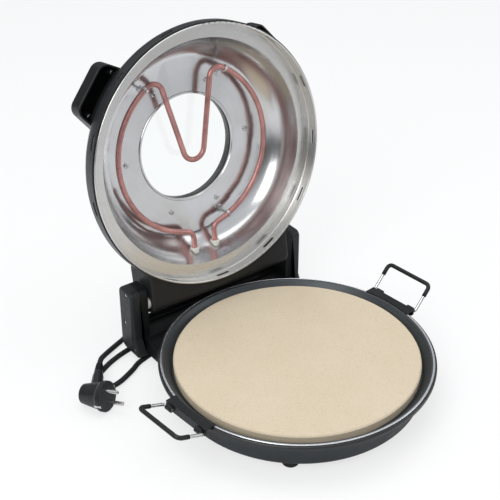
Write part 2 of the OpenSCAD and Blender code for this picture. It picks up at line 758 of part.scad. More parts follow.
// Plug: +x along its pins, the body behind its face
module at_plug() {
    translate(plug_face) rotate([0, 0, plug_turn]) rotate([0, -plug_rise, 0]) rotate([plug_roll, 0, 0]) children();
}
module between(a, b) {
    v = b - a;
    translate(a) rotate([0, acos(v[2] / norm(v)), atan2(v[1], v[0])]) children();
}

module plug_body() {
    r = plug_r;
    color("#1a1b1d") stand_at() difference() {
        union() {
            at_plug() rotate([0, -90, 0]) rotate_extrude()
                polygon([[0, 0], [r - 1, 0], [r, 1], [r, 5], [r - 1.7, 8], [plug_back_r, plug_depth - 2],
                    [plug_back_r - 3, plug_depth], [0, plug_depth]]);
            between(plug_middle, relief_root) cylinder(r1 = neck_tip_r + 2, r2 = neck_tip_r, h = neck_len - touch);
        }
        at_plug() for (s = [-1, 1]) {
            translate([-9, -2.6, s * r - (s > 0 ? 2 : 0.5)]) cube([10, 5.2, 2.5]);
            translate([-8, s * 9.5, 0]) rotate([0, 90, 0]) cylinder(r = 2.4, h = 9);
        }
    }
}

module plug_pins() {
    pin_r = 2.4;
    pin_len = 19;
    color("#c9ccce") stand_at() at_plug() for (s = [-1, 1]) {
        translate([-8, s * 9.5, 0]) rotate([0, 90, 0]) rotate_extrude()
            polygon([[0, 0], [pin_r, 0], [pin_r, pin_len + 7], [pin_r - 1, pin_len + 8], [0, pin_len + 8]]);
        translate([-9, -2, s * (plug_r - 1.5) - 0.5]) cube([9, 4, 1]);
    }
}

module plug_strain_relief() {
    v = relief_tip - relief_root;
    long = norm(v);
    root_r = neck_tip_r - 0.4;
    tip_r = 4.3;
    color("#17181a") stand_at() between(relief_root, relief_tip) difference() {
        cylinder(r1 = root_r, r2 = tip_r, h = long);
        for (i = [1:5]) translate([0, 0, long * (0.2 + 0.12 * i)]) rotate_extrude()
            translate([root_r - (root_r - tip_r) * (0.2 + 0.12 * i) - 0.9, 0]) square([4, 2]);
    }
}

// Pan, brackets, bails and stone

module pan() {
    shoulder_r = pan_floor_r + 9.3;
    bead = 0.7;
    path = soft_path([[0, pan_floor_z - pan_t], [pan_floor_r, pan_floor_z - pan_t], [shoulder_r, ring_top],
        [pan_r - bead, ring_top]], [0, 3, 1.5, 0]);
    color("#a9adb0") on_pan() rotate_extrude($fn = 128) union() {
        polygon(sheet(path, pan_t));
        translate([pan_r - bead, ring_top + bead]) circle(bead, $fn = 24);
    }
}

module baking_stone() {
    color("#cdbfa6") on_pan() translate([0, 0, pan_floor_z]) rotate_extrude($fn = 128)
        polygon([[0, 0], [stone_r - 1, 0], [stone_r, 1], [stone_r, stone_h - 1.5], [stone_r - 1.5, stone_h],
            [0, stone_h]]);
}

// Right-hand bracket: a tab on the pan's lip, a hanging plate and two rolled barrels for the wire
module bracket() {
    plate_out = bracket_x + bracket_t;
    difference() {
        union() {
            translate([ring_inner_r - 8, -bracket_half_w, pan_lip_z + 0.2])
                cube([plate_out - ring_inner_r + 8, 2 * bracket_half_w, tab_t]);
            translate([bracket_x, 0, 0]) rotate([90, 0, 90]) linear_extrude(bracket_t)
                polygon(soft_loop([[-bracket_half_w, bracket_low], [bracket_half_w, bracket_low],
                    [bracket_half_w, pan_lip_z + 0.2 + tab_t], [-bracket_half_w, pan_lip_z + 0.2 + tab_t]],
                    [5, 5, 0.3, 0.3]));
            for (s = [-1, 1]) translate([wire_x, s > 0 ? barrel_y0 : -barrel_y1, wire_z]) rotate([-90, 0, 0])
                cylinder(r = barrel_r, h = barrel_y1 - barrel_y0);
        }
        cylinder(r = ring_inner_r + 0.7, h = 2 * ring_top, $fn = 128);
        translate([wire_x, -barrel_y1 - 1, wire_z]) rotate([-90, 0, 0])
            cylinder(r = wire_d / 2 + slip, h = 2 * barrel_y1 + 2);
    }
}
module bracket_right() { color("#1d1f21") on_pan() bracket(); }
module bracket_left() { color("#1d1f21") on_pan() mirror([1, 0, 0]) bracket(); }

// A bail's line as hollow or solid tube: stub in the barrel, leg, corner and bar
module bail_line(r, bore, from, with_stub) {
    corner_x = bail_len - bail_corner_r;
    corner_y = bail_half_w - bail_corner_r;
    for (s = [0, 1]) mirror([0, s, 0]) {
        if (with_stub) {
            translate([0, barrel_y0 - 1.5, 0]) rotate([-90, 0, 0])
                rod(r, bail_half_w - bail_bend_r - barrel_y0 + 1.5);
            translate([bail_bend_r, bail_half_w - bail_bend_r, 0]) rotate([0, 0, 90]) bend(r, bail_bend_r, 90);
        }
        translate([from, bail_half_w, 0]) rotate([0, 90, 0]) rod(r, corner_x - from, bore);
        translate([corner_x, corner_y, 0]) bend(r, bail_corner_r, 90, bore);
        translate([bail_len, 0, 0]) rotate([-90, 0, 0]) rod(r, corner_y, bore);
    }
}
module at_bail(tilt) {
    translate([wire_x, 0, wire_z]) rotate([0, -tilt, 0]) children();
}
module bail_right() {
    color("#c4c7ca") on_pan() at_bail(right_bail_tilt) bail_line(wire_d / 2, 0, bail_bend_r, true);
}
module bail_left() {
    color("#c4c7ca") on_pan() mirror([1, 0, 0]) at_bail(left_bail_tilt)
        bail_line(wire_d / 2, 0, bail_bend_r, true);
}
module grip_right() {
    color("#16181a") on_pan() at_bail(right_bail_tilt)
        bail_line(sleeve_d / 2, wire_d / 2 + touch, sleeve_start, false);
}
module grip_left() {
    color("#16181a") on_pan() mirror([1, 0, 0]) at_bail(left_bail_tilt)
        bail_line(sleeve_d / 2, wire_d / 2 + touch, sleeve_start, false);
}

// Lid

shell_path = concat([[shell_r, hem_z]],
    curve([shell_r, 17], [shell_r - 6, 38], [shell_r - 36, 0.92 * shell_top], [shell_r - 70, shell_top - 0.5]),
    [[bezel_r - 1, shell_top], [0, shell_top]]);
reflector_hem_z = band_h + 1 + sheet_t + touch;
reflector_path = concat([[band_inner_r + 6, reflector_hem_z]],
    curve([band_inner_r, reflector_hem_z], [band_inner_r - 2, 0.66 * plate_z], [plate_r + 19, plate_z - 6],
        [plate_r, plate_z + sheet_t], 10), [[0, plate_z + sheet_t]]);

// The shell as a solid, a little larger by gap, for what is shaped round it
module shell_solid(gap = 0) {
    rotate_extrude($fn = 128) polygon(concat(moved(shell_path, -gap), [[0, 0], [shell_r + gap, 0]]));
}

module slot_cutter(r0, r1) {
    for (i = [0:slot_count - 1]) rotate([0, 0, 90 + i * 360 / slot_count])
        translate([r0, 0, slot_z]) rotate([0, 90, 0]) rotate([0, 0, 90]) slot(slot_len, slot_h, r1 - r0);
}

// Places of the screws that hold the reflector to the shell
boss_spots = [[boss_r, 0], [-boss_r, 0], [38, -76], [-38, -76], [34, 78], [-34, 78]];

module lid_shell() {
    color("#1f2123") on_lid() difference() {
        union() {
            rotate_extrude($fn = 128) intersection() {
                polygon(sheet(shell_path, shell_t));
                translate([opening_r, 0]) square([ring_r, 2 * shell_top]);
            }
            intersection() {
                for (p = boss_spots) translate([p[0], p[1], plate_z + sheet_t]) cylinder(r = 4, h = shell_top - plate_z);
                rotate_extrude($fn = 128) polygon(concat(moved(shell_path, shell_t / 2), [[0, 0], [shell_r, 0]]));
            }
        }
        slot_cutter(bead_out_r - 5, shell_r + 6);
        for (p = boss_spots) translate([p[0], p[1], plate_z]) cylinder(r = 1.4, h = 9, $fn = 24);
        translate([-26, 120, 34]) cube([52, 40, 12]);
    }
}

module rim_band() {
    wall_in = band_wall_r;
    wall_out = band_wall_r + 1;
    outline = [[wall_in, bead_r], [wall_out, bead_r], [wall_out, band_h - 1.5], [shell_r - shell_t, band_h - 1.5],
        [shell_r - shell_t, band_h + 1], [band_inner_r, band_h + 1], [band_inner_r, band_h], [wall_in, band_h]];
    color("#c3c6c8") on_lid() difference() {
        rotate_extrude($fn = 128) union() {
            polygon(soft_loop(outline, [0.1, 0.1, 0.2, 0.2, 0.4, 0.3, 0.3, 1.5], 3));
            translate([bead_out_r - bead_r, bead_r]) circle(bead_r, $fn = 32);
        }
        slot_cutter(band_wall_r - 5, bead_out_r);
    }
}

module lid_reflector() {
    color("#aeb1b3") on_lid() difference() {
        rotate_extrude($fn = 128) intersection() {
            polygon(sheet(reflector_path, sheet_t));
            translate([window_hole_r, 0]) square([ring_r, 2 * shell_top]);
        }
        for (p = boss_spots) translate([p[0], p[1], plate_z - 2]) cylinder(r = 1.7, h = 5, $fn = 24);
        for (s = [-1, 1]) translate([s * leg_x, plate_r, upper_z]) rotate([-90, 0, 0]) {
            cylinder(r = tube_r + 1.3, h = 40);
            cylinder(r = bush_flange_r + touch, h = bush_seat_y - plate_r);
        }
    }
}

// Window: a dark ring below the plate, the glass on it, a gasket, and the bezel on the shell's top
module window_ring() {
    lip = 1.4;
    color("#191a1b") on_lid() rotate_extrude($fn = 128) polygon([[window_r + 0.6, plate_z - lip],
        [ring_out_r - 0.6, plate_z - lip], [ring_out_r, plate_z - lip + 0.6], [ring_out_r, plate_z],
        [window_hole_r - touch, plate_z], [window_hole_r - touch, glass_z], [window_r, glass_z],
        [window_r, plate_z - lip + 0.6]]);
}
module window_glass() {
    color([0.85, 0.9, 0.92, 0.35]) on_lid() translate([0, 0, glass_z]) rotate_extrude($fn = 128)
        polygon([[0, 0], [glass_r - 0.4, 0], [glass_r, 0.4], [glass_r, glass_t - 0.4], [glass_r - 0.4, glass_t],
            [0, glass_t]]);
}
gasket_top = glass_z + glass_t + 2.5;
module window_gasket() {
    color("#303234") on_lid() rotate_extrude($fn = 128) polygon([[glass_r + touch, glass_z],
        [glass_r + 2, glass_z], [glass_r + 2, gasket_top], [bezel_in_r, gasket_top],
        [bezel_in_r, glass_z + glass_t], [glass_r + touch, glass_z + glass_t]]);
}
module window_bezel() {
    color("#26282a") on_lid() rotate_extrude($fn = 128) polygon(soft_loop([[bezel_in_r, gasket_top],
        [opening_r - touch, gasket_top], [opening_r - touch, shell_top + 0.05], [bezel_r, shell_top + 0.05],
        [bezel_r, bezel_top], [bezel_in_r, bezel_top]], [0.3, 0.3, 0.1, 0.3, 1.2, 1.2], 4));
}

// Upper element: a ring that turns in at two shoulders and dips in a U across the window
module upper_element() {
    shoulder_r = 13;
    dip_r = 15;
    dip_y = -2;
    leg_end = 139;
    r = upper_ring_r;
    turn = fillet_angle(r, leg_fillet_r);
    along = [-sin(shoulder_at), -cos(shoulder_at)];
    sc = (r - shoulder_r) * [cos(shoulder_at), -sin(shoulder_at)] + bend_gap * along;
    dip = [0, dip_y];
    span = dip - sc;
    // Heading of the straight between shoulder and dip, measured clockwise from +x
    heading = -atan2(span[1], span[0]) + 360 + asin((shoulder_r + dip_r) / norm(span));
    straight = sqrt(span * span - pow(shoulder_r + dip_r, 2));
    from = sc + shoulder_r * [sin(heading), cos(heading)];
    sweep = heading - 90 - shoulder_at;
    color("#a9736b") on_lid() translate([0, 0, upper_z]) {
        both_sides() {
            translate(sc) rotate([0, 0, -shoulder_at - sweep]) bend(tube_r, shoulder_r, sweep);
            translate(from) rotate([0, 0, -heading]) rotate([0, 90, 0]) link(tube_r, straight);
            rotate([0, 0, -shoulder_at]) {
                translate([r, 0, 0]) rotate([90, 0, 0]) link(tube_r, bend_gap);
                bend(tube_r, r, shoulder_at + turn);
            }
            element_leg(r, leg_end);
        }
        translate(dip) rotate([0, 0, 270 - heading]) bend(tube_r, dip_r, 2 * heading - 360);
    }
}

module element_bushes() {
    color("#d8d4c8") on_lid() for (s = [-1, 1]) translate([s * leg_x, bush_seat_y, upper_z]) rotate([-90, 0, 0])
        rotate_extrude() polygon([[tube_r + slip, -2.5], [bush_flange_r, -2.5], [bush_flange_r, 0],
            [tube_r + 1.2, 0], [tube_r + 1.2, 7.5], [tube_r + slip, 7.5]]);
}

module upper_element_clips() {
    h = plate_z - upper_z;
    color("#b4b7b9") on_lid() for (a = [-shoulder_clip_at, shoulder_clip_at - 180, leg_clip_at])
        rotate([0, 0, a]) translate([upper_ring_r, 0, plate_z]) mirror([0, 0, 1]) mirror([1, 0, 0])
            saddle_clip(h);
}

module reflector_screws() {
    color("#d0d3d5") on_lid() for (p = boss_spots) translate([p[0], p[1], plate_z]) rotate_extrude($fn = 32)
        polygon([[0, -1.8], [1.6, -1.7], [2.8, -1], [3.2, 0], [1.35, 0], [1.35, 8], [0, 8]]);
}

// Lid handles: a hollow scoop in its own frame, +x out along the lid's radius
handle_out_r = shell_r + handle_reach;
handle_root_w = handle_half_w + handle_flare * (handle_out_r - handle_u0);
handle_plan = [[handle_u0, -handle_root_w], [handle_out_r, -handle_half_w], [handle_out_r, handle_half_w],
    [handle_u0, handle_root_w]];
handle_radii = [2, handle_corner_r, handle_corner_r, 2];
function handle_floor(u) = handle_low + 0.18 * (u - handle_out_r);
function handle_roof(u) = handle_high - 0.08 * (u - handle_out_r);
function handle_ring(d, floor_lift, roof_drop, at_roof) = [for (p = inset_loop(handle_plan, handle_radii, d))
    [p[0], p[1], at_roof ? handle_roof(p[0]) - roof_drop : handle_floor(p[0]) + floor_lift]];

module handle_body() {
    steps = 4;
    arc = [for (i = [0:steps]) 90 * i / steps];
    boss_at = [for (s = [-1, 1]) handle_screw_r * [cos(handle_screw_angle), s * sin(handle_screw_angle)]];
    difference() {
        union() {
            difference() {
                loft(concat([handle_ring(0.6, 0, 0, false), handle_ring(0, 0.6, 0, false)],
                    [for (a = arc) handle_ring(handle_edge_r * (1 - cos(a)), 0, handle_edge_r * (1 - sin(a)), true)]));
                difference() {
                    loft([handle_ring(handle_wall, -2, 0, false), handle_ring(handle_wall, 0, handle_wall + 4, true),
                        handle_ring(handle_wall + 1.5, 0, handle_wall + 1, true)]);
                    shell_solid(2.6);
                }
            }
            for (p = boss_at) translate([p[0], p[1], handle_screw_z])
                cylinder(r = 4, h = handle_high - handle_screw_z);
        }
        for (p = boss_at) translate([p[0], p[1], handle_screw_z - 1]) cylinder(r = 1.4, h = 11, $fn = 24);
        shell_solid(touch);
    }
}
module lid_handle_left() { color("#17191b") on_lid() rotate([0, 0, -90 - handle_angle]) handle_body(); }
module lid_handle_right() { color("#17191b") on_lid() rotate([0, 0, -90 + handle_angle]) handle_body(); }

module handle_screws() {
    color("#94979a") on_lid() for (h = [-1, 1], s = [-1, 1])
        rotate([0, 0, -90 + h * handle_angle + handle_screw_angle * s])
        translate([handle_screw_r, 0, handle_screw_z]) rotate_extrude($fn = 32)
            polygon([[0, -2], [1.6, -1.9], [2.6, -1.2], [2.9, 0], [1.35, 0], [1.35, 9], [0, 9]]);
}

// Hinge block: a moulded barrel that grows out of the shell's back
module hinge_block() {
    cavity_x = pin_tip_x - 4;
    color("#212325") on_lid() difference() {
        along_x(-block_end_x) moulded(block_outline, block_radii, 0, 2 * block_end_x, block_edge_r, both = true);
        shell_solid(touch);
        along_x(-cavity_x) linear_extrude(2 * cavity_x) polygon(inset_loop(block_outline, block_radii, stand_wall));
        both_sides() along_x(pin_tip_x - 1) translate([hinge_y, lid_hinge_z]) {
            cylinder(r = bush_r + touch, h = block_end_x);
        }
    }
}

module hinge_bushes() {
    flange = pillar_inner_x - block_end_x - slip;
    color("#c9b072") on_lid() both_sides() along_x(block_end_x - bush_len) translate([hinge_y, lid_hinge_z])
        rotate_extrude() polygon([[pin_d / 2 + 0.1, 0], [bush_r, 0], [bush_r, bush_len], [bush_r + 3, bush_len],
            [bush_r + 3, bush_len + flange], [pin_d / 2 + 0.1, bush_len + flange]]);
}

module rear_bumpers() {
    color("#141516") on_lid() for (s = [-1, 1]) translate([s * (block_end_x - 13), 140, block_top_z])
        rotate_extrude() polygon(concat([[0, 0], [8, 0]], curve([8, 2], [8, 6], [5.5, 8], [0, 8], 8)));
}

base_shell();
base_ring();
base_reflector();
lower_element();
lower_element_clips();
feet();
foot_screws();
rear_housing();
cover_left();
cover_right();
cover_screws();
hinge_pins();
terminal_block();
thermal_cutout();
cord_gland();
cord_tail();
cord_coil();
cord_run();
plug_strain_relief();
plug_body();
plug_pins();
pan();
bracket_left();
bracket_right();
bail_left();
bail_right();
grip_left();
grip_right();
baking_stone();
lid_shell();
rim_band();
lid_reflector();
window_glass();
window_ring();
window_gasket();
window_bezel();
upper_element();
element_bushes();
upper_element_clips();
reflector_screws();
lid_handle_left();
lid_handle_right();
handle_screws();
hinge_block();
hinge_bushes();
rear_bumpers();
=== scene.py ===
"""Looks of a countertop round cooker with a hinged lid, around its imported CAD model.

Places are in metres, +Z up, with the front towards -Y. Sizes of the CAD model are in millimetres.
"""
import json
import math

import bmesh
import bpy
import numpy as np
from mathutils import Matrix, Vector


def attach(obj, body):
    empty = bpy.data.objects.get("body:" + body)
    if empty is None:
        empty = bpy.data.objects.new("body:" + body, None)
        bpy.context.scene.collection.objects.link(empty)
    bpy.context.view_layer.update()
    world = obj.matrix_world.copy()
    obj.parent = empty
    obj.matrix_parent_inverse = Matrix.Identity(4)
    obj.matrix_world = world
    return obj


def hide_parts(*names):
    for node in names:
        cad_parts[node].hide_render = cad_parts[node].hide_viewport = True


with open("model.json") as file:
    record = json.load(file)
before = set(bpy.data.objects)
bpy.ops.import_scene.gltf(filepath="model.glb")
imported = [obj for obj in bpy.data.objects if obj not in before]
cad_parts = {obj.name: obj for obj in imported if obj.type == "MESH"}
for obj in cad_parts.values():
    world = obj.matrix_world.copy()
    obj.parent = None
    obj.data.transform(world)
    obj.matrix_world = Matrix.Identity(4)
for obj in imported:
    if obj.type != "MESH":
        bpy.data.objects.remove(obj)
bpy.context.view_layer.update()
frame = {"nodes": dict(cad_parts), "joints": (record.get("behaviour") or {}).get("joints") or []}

MM = 0.001
LID_HINGE = next(joint for joint in frame["joints"] if joint["name"] == "lid_hinge")
HINGE = Vector(LID_HINGE["pos_m"])
LID_OPEN = math.radians(-LID_HINGE["range_deg"][0])

# Sizes that the CAD model is drawn with, in its base frame and in millimetres
HINGE_Y = 165.2
HINGE_ABOVE_MOUTH = 22.5
SHIFT = Vector((HINGE.x, HINGE.y - HINGE_Y * MM, 0))

# The lid's own frame: its mouth's middle at the origin, the dome towards +Z, the hinge towards +Y
LID_TURN = Matrix.Rotation(-LID_OPEN, 4, "X")
LID_TO_SCENE = (Matrix.Translation(HINGE) @ LID_TURN
                @ Matrix.Translation(Vector((0, -HINGE_Y, -HINGE_ABOVE_MOUTH)) * MM))
SCENE_TO_LID = LID_TO_SCENE.inverted()
LID_UP = (LID_TURN @ Vector((0, 0, 1, 0))).to_3d()


def placed(point):
    """A point of the base frame, in millimetres, as a place in the scene."""
    return Vector(point) * MM + SHIFT


def in_scene(name, data):
    """A new object that holds the data, linked to the scene."""
    obj = bpy.data.objects.new(name, data)
    bpy.context.scene.collection.objects.link(obj)
    return obj


def facing(eye, target):
    """The rotation of a camera or a lamp at eye that looks at target."""
    return (Vector(target) - Vector(eye)).to_track_quat("-Z", "Y").to_euler()


def evaluated_mesh(obj):
    """The object's mesh, with its curve swept or its modifiers applied."""
    graph = bpy.context.evaluated_depsgraph_get()
    return bpy.data.meshes.new_from_object(obj.evaluated_get(graph))


# Camera

LENS = 80.35
SENSOR_WIDTH = 36
EYE = (-0.66795, -0.86664, 0.85271)
TARGET = (-0.06454, -0.04429, 0.22054)


def add_camera():
    """The camera, at the photograph's angle."""
    data = bpy.data.cameras.new("camera")
    data.lens = LENS
    data.sensor_width = SENSOR_WIDTH
    camera = in_scene("camera", data)
    camera.location = EYE
    camera.rotation_euler = facing(EYE, TARGET)
    bpy.context.scene.camera = camera


add_camera()


# Cord: one line from the gland, round the coil and along the table to the plug, in millimetres

CORD_D = 6.6
TABLE_GAP = 0.1
CORD_Z = CORD_D / 2 + TABLE_GAP
COIL_X = 30
COIL_Y = 268
COIL_TURNS = 3.5
COIL_GAP = 0.6
COIL_PITCH = CORD_D + COIL_GAP
COIL_INNER_R = 29.5
COIL_POINTS = 24
COIL_END_ANGLE = 180
CLIMB_TURNS = 0.5
REVERSAL_ROUNDING = 0.01
GLAND_TIP = (62, 216, 17)
TAIL = [(62, 222, 17), (63.5, 232, 15.2), (68.4, 241.5, 9.6), (71.6, 249, 4.8)]
RUN = [
    (-12.2, 249, 9), (-12.6, 239, 6.2), (-13.5, 227, 4), (-16.5, 211, 3.4), (-24, 194, 3.4),
    (-38, 178, 3.4), (-58, 167, 3.4), (-80, 161, 3.4), (-102, 158, 3.4), (-121, 153, 3.4),
    (-132, 149.3, 3.4), (-143, 142.6, 3.4), (-155.5, 136.4, 3.4), (-167.3, 131.4, 3.4),
    (-178.5, 129, 3.4), (-187, 130.8, 3.4), (-191.2, 138, 3.4), (-190, 148, 3.4), (-184, 157, 3.4),
    (-175, 162.6, 3.4), (-164, 168.6, 3.4), (-152, 173.8, 3.4), (-135, 179, 3.4), (-116, 182.5, 3.4),
    (-96, 183, 3.4), (-76, 186, 3.4), (-58, 195, 3.4), (-47, 210, 3.4), (-47, 227, 3.4),
    (-58, 240, 3.4), (-75, 242, 3.4), (-90, 232, 3.4), (-103, 218, 3.4), (-117, 206, 3.4),
    (-134, 198.5, 3.4), (-150, 190.5, 4.8), (-161, 182.5, 8), (-169, 175, 11.4)]
PLUG_MIDDLE = Vector((-211.91, 112.68, 15.77))
RELIEF_TIP = Vector((-178, 163, 13.5))
STRAIGHT = 5
STEPS_BETWEEN_POINTS = 4
TUBE_RESOLUTION = 6


def coil_point(turn):
    """A point of the coil, which winds in, climbs a layer and winds out again."""
    angle = math.radians(COIL_END_ANGLE - (COIL_TURNS - turn) * 360)
    from_middle = turn - COIL_TURNS / 2
    radius = COIL_INNER_R + COIL_PITCH * math.sqrt(from_middle ** 2 + REVERSAL_ROUNDING)
    climb = min(1, max(0, from_middle / CLIMB_TURNS + 0.5))
    height = CORD_Z + COIL_PITCH * climb * climb * (3 - 2 * climb)
    return COIL_X + radius * math.cos(angle), COIL_Y + radius * math.sin(angle), height


def smooth_run(points, steps):
    """A smooth line through the points, with each stretch cut into steps."""
    line = []
    last = len(points) - 1
    for i in range(last):
        a, b, c, d = (points[max(0, min(last, j))] for j in range(i - 1, i + 3))
        for k in range(steps):
            t = k / steps
            line.append(0.5 * (2 * b + (c - a) * t + (2 * a - 5 * b + 4 * c - d) * t * t
                               + (3 * b - a - 3 * c + d) * t ** 3))
    return line + [points[last]]


def cord_line():
    """The middle line of the whole cord, from the gland's tip to the strain relief's."""
    loops = [coil_point(i / COIL_POINTS) for i in range(int(COIL_TURNS * COIL_POINTS) + 1)]
    entry = Vector(loops[0]) - Vector((0, CORD_D, 0))
    leave = Vector(loops[-1]) - Vector((0, CORD_D, 0))
    straight = Vector((0, STRAIGHT, 0))
    lead = (RELIEF_TIP - PLUG_MIDDLE).normalized()
    route = [GLAND_TIP, *TAIL, entry - straight, entry, *loops, leave, leave - straight, *RUN,
             RELIEF_TIP + STRAIGHT * lead, RELIEF_TIP]
    return smooth_run([placed(point) for point in route], STEPS_BETWEEN_POINTS)


def swept_tube(line, radius):
    """The mesh of a closed round tube along the line."""
    curve = bpy.data.curves.new("power_cord_line", "CURVE")
    curve.dimensions = "3D"
    curve.bevel_depth = radius
    curve.bevel_resolution = TUBE_RESOLUTION
    curve.use_fill_caps = True
    spline = curve.splines.new("POLY")
    spline.points.add(len(line) - 1)
    for point, place in zip(spline.points, line):
        point.co = (*place, 1)
    spline.use_smooth = True
    carrier = in_scene("power_cord_line", curve)
    tube = evaluated_mesh(carrier)
    bpy.data.objects.remove(carrier)
    return tube


def add_cord():
    """The cord, which stands for its plain solids."""
    line = cord_line()
    cord = in_scene("power_cord", swept_tube(line, CORD_D / 2 * MM))
    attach(cord, "base")
    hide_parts("cord_tail", "cord_coil", "cord_run")
    return cord


cord = add_cord()


# Building blocks for materials

# Most of what a noise texture gives lies between these
NOISE_LOW = 0.3
NOISE_HIGH = 0.7


def shade(color, factor):
    """A darker or paler colour of the same hue."""
    return tuple(c * factor for c in color)


class Tree:
    """A material's nodes, with short ways to add the ones used here."""

    def __init__(self, name):
        self.material = bpy.data.materials.new(name)
        self.material.use_nodes = True
        self.tree = self.material.node_tree
        self.shader = self.tree.nodes["Principled BSDF"]
        self.place = self.add("ShaderNodeTexCoord").outputs["Object"]

    def add(self, kind, **settings):
        """A new node with its settings."""
        node = self.tree.nodes.new(kind)
        for key, value in settings.items():
            setattr(node, key, value)
        return node

    def link(self, output, socket):
        """Joins an output to an input."""
        self.tree.links.new(output, socket)

    def fill(self, socket, value):
        """Gives an input a number, a colour or another node's output."""
        if isinstance(value, bpy.types.NodeSocket):
            self.link(value, socket)
        else:
            socket.default_value = value

    def set(self, **values):
        """Fills inputs of the shader, by their names with _ for each space."""
        for key, value in values.items():
            self.fill(self.shader.inputs[key.replace("_", " ")], value)

    def math(self, operation, a, b=0.0):
        """One sum of two values."""
        node = self.add("ShaderNodeMath", operation=operation)
        self.fill(node.inputs[0], a)
        self.fill(node.inputs[1], b)
        return node.outputs[0]

    def noise(self, scale, detail, roughness=0.5, place=None):
        """Noise with its scale in cells to a metre, on the object unless a place is given."""
        node = self.add("ShaderNodeTexNoise")
        self.link(place or self.place, node.inputs["Vector"])
        node.inputs["Scale"].default_value = scale
        node.inputs["Detail"].default_value = detail
        node.inputs["Roughness"].default_value = roughness
        return node.outputs["Fac"]

    def spread(self, value, low, high, to_low=0, to_high=1, smooth=False):
        """The value's stretch from low to high, as one from to_low to to_high."""
        node = self.add("ShaderNodeMapRange", interpolation_type="SMOOTHSTEP" if smooth else "LINEAR")
        self.fill(node.inputs["Value"], value)
        node.inputs["From Min"].default_value = low
        node.inputs["From Max"].default_value = high
        node.inputs["To Min"].default_value = to_low
        node.inputs["To Max"].default_value = to_high
        return node.outputs["Result"]

    def between(self, noise, least, most):
        """A value that the noise moves between its least and its most."""
        return self.spread(noise, NOISE_LOW, NOISE_HIGH, least, most)

    def mix(self, amount, a, b):
        """Colour a, with the amount of b in it."""
        node = self.add("ShaderNodeMix", data_type="RGBA")
        self.fill(node.inputs["Factor"], amount)
        self.fill(node.inputs["A"], a if isinstance(a, bpy.types.NodeSocket) else (*a, 1))
        self.fill(node.inputs["B"], b if isinstance(b, bpy.types.NodeSocket) else (*b, 1))
        return node.outputs["Result"]

    def clouded(self, noise, color, dark, pale):
        """The colour, which the noise moves between a dark and a pale share of it."""
        return self.mix(noise, shade(color, dark), shade(color, pale))

    def bump(self, *layers):
        """Bump from (height, depth in metres, strength) layers, the coarse ones first."""
        normal = None
        for height, depth, strength in layers:
            node = self.add("ShaderNodeBump")
            node.inputs["Distance"].default_value = depth
            node.inputs["Strength"].default_value = strength
            self.link(height, node.inputs["Height"])
            if normal:
                self.link(normal, node.inputs["Normal"])
            normal = node.outputs["Normal"]
        self.link(normal, self.shader.inputs["Normal"])

    def moved(self, matrix):
        """Object coordinates carried over by a rigid matrix."""
        node = self.add("ShaderNodeMapping", vector_type="POINT")
        self.link(self.place, node.inputs["Vector"])
        node.inputs["Location"].default_value = matrix.to_translation()
        node.inputs["Rotation"].default_value = matrix.to_euler()
        return node.outputs["Vector"]

    def polar(self, place):
        """Distance from the z axis, angle round it and height."""
        parts = self.add("ShaderNodeSeparateXYZ")
        self.link(place, parts.inputs[0])
        x, y, z = parts.outputs
        squares = self.math("ADD", self.math("MULTIPLY", x, x), self.math("MULTIPLY", y, y))
        return self.math("SQRT", squares), self.math("ARCTAN2", y, x), z

    def combine(self, x, y, z):
        """A vector of three values."""
        node = self.add("ShaderNodeCombineXYZ")
        for socket, value in zip(node.inputs, (x, y, z)):
            self.fill(socket, value)
        return node.outputs[0]


# Materials

SAND = (0.58, 0.48, 0.34)
PALE_SAND = (0.66, 0.57, 0.43)
PALE_GRAIN = (0.76, 0.70, 0.58)
DARK_GRAIN = (0.30, 0.23, 0.16)
# Painted shade inside the stone's pores
PORE_SHADE = (0.34, 0.27, 0.19)
COATING = (0.038, 0.044, 0.048)
PALE_COATING = (0.062, 0.070, 0.075)
BEAD = (0.74, 0.75, 0.76)
DULL_BEAD = (0.56, 0.57, 0.58)

# Radii, in metres, between which the pan's coating gives way to its bright bead
BEAD_FROM_R = 0.1600
BEAD_TO_R = 0.1606


def paint(name, color, roughness, specular=0.5):
    """Sprayed paint on steel: slight orange peel, faint clouding and fine dust in the gloss."""
    t = Tree(name)
    cloud = t.noise(14, 4)
    gloss = t.noise(60, 5, 0.6)
    peel = t.noise(260, 2)
    dust = t.noise(1400, 2)
    t.set(Base_Color=t.clouded(cloud, color, 0.9, 1.1),
          Roughness=t.between(gloss, roughness - 0.05, roughness + 0.06),
          Specular_IOR_Level=specular)
    t.bump((peel, 0.0002, 0.10), (dust, 0.00005, 0.15))
    return t.material


def moulded(name, color, roughness=0.46, grain=0.22, specular=0.35):
    """Moulded plastic: fine spark-eroded grain, slightly uneven gloss."""
    t = Tree(name)
    broad = t.noise(30, 4)
    gloss = t.noise(140, 4)
    grains = t.noise(2600, 2, 0.6)
    t.set(Base_Color=t.clouded(broad, color, 0.86, 1.14),
          Roughness=t.between(gloss, roughness - 0.05, roughness + 0.07),
          Specular_IOR_Level=specular)
    t.bump((broad, 0.0006, 0.05), (grains, 0.0001, grain))
    return t.material


def rubbery(name, color, roughness=0.7):
    """Soft moulded rubber with a dusty bloom."""
    t = Tree(name)
    bloom = t.spread(t.noise(90, 5, 0.65), 0.45, 0.75)
    grain = t.noise(900, 3)
    t.set(Base_Color=t.mix(bloom, color, shade(color, 1.7)),
          Roughness=t.spread(bloom, 0, 1, roughness, 0.85),
          Specular_IOR_Level=0.35)
    t.bump((grain, 0.0001, 0.3))
    return t.material


